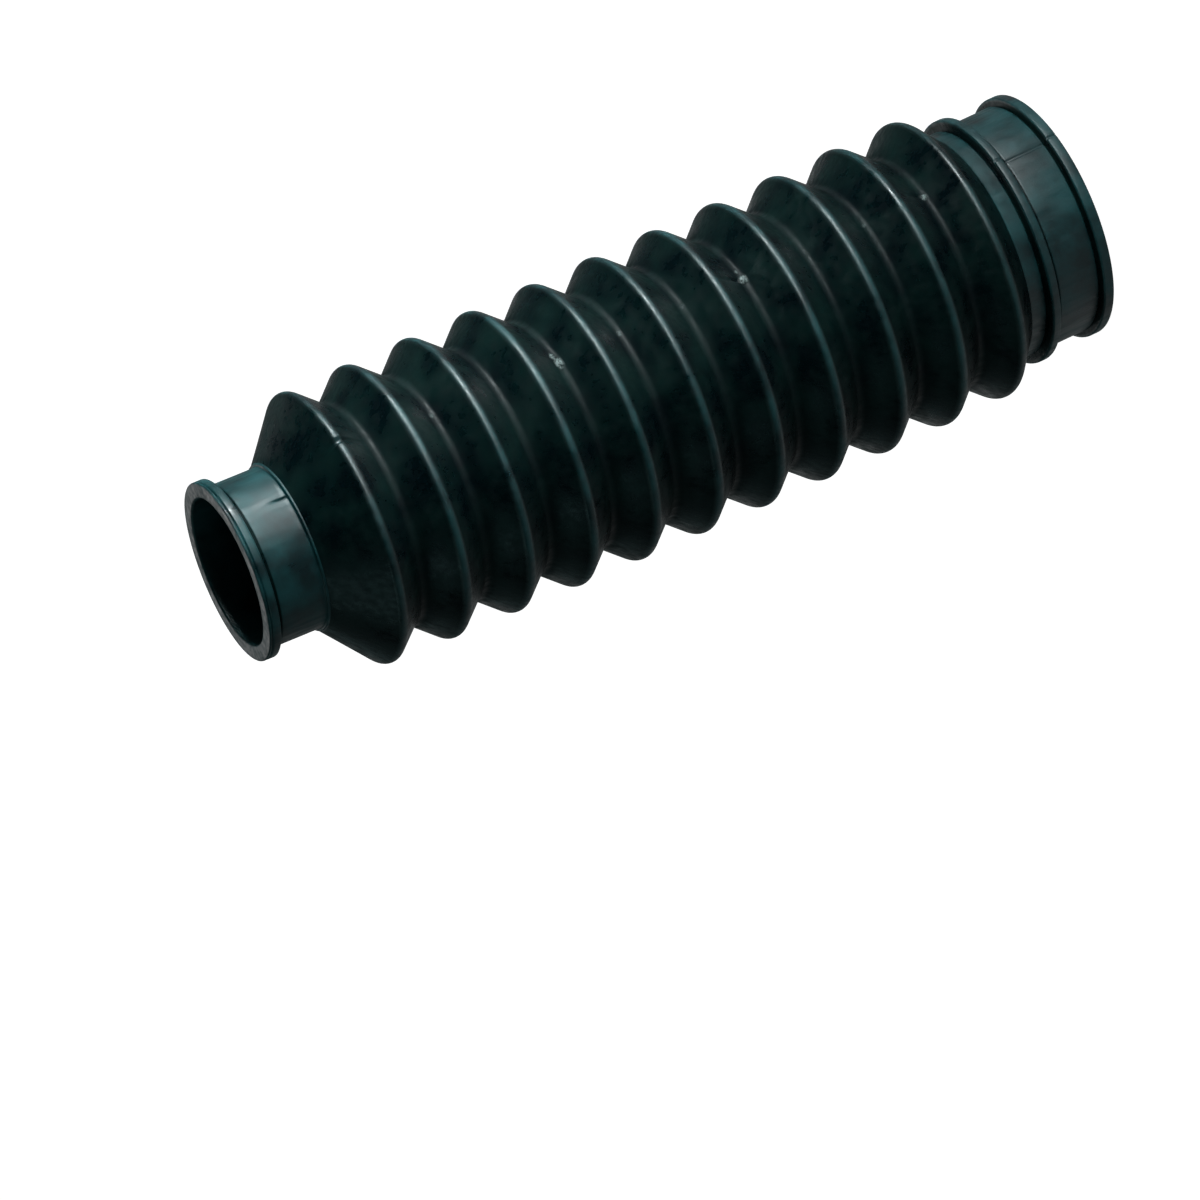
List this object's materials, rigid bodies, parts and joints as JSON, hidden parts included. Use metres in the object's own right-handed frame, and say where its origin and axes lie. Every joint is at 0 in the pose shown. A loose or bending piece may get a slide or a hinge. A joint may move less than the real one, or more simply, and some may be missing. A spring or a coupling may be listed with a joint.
{
  "type": "fork gaiter",
  "caption": "Ribbed rubber bellows with a narrow cuff and a wide cuff, a sleeve that keeps dirt off the sliding tube of a telescopic fork.",
  "frame": {"origin": "centre of the big cuff's rim, on the axis", "axes": "+Z along the axis, from the big cuff to the small cuff"},
  "size_m": [0.0716, 0.0716, 0.2252],
  "materials": {
    "rubber": "satin black moulded rubber"
  },
  "bodies": {
    "root": {"gaiter": "rubber"}
  },
  "joints": []
}
